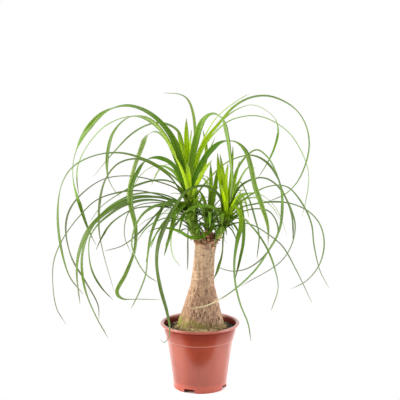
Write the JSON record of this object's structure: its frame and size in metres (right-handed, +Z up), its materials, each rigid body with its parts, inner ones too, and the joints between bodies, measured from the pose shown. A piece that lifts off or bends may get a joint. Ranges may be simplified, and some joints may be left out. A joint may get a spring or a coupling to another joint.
{
  "type": "potted ponytail palm",
  "caption": "Ponytail palm with a swollen bark trunk and arching strap leaves in three heads, rooted in a terracotta-coloured plastic nursery pot.",
  "frame": {"origin": "centre of the pot's underside, on the pot's axis at floor level", "axes": "+Z up along the pot's axis, +Y towards the back of the plant as the picture shows it, +X to the picture's right"},
  "size_m": [0.591, 0.4815, 0.6298],
  "materials": {
    "pot": "satin",
    "soil": "matte",
    "bark": "matte",
    "leaf": "satin"
  },
  "bodies": {
    "root": {"pot": "pot", "soil": "soil", "trunk": "bark", "crown_left": "leaf", "crown_right": "leaf", "crown_centre": "leaf"}
  },
  "joints": []
}
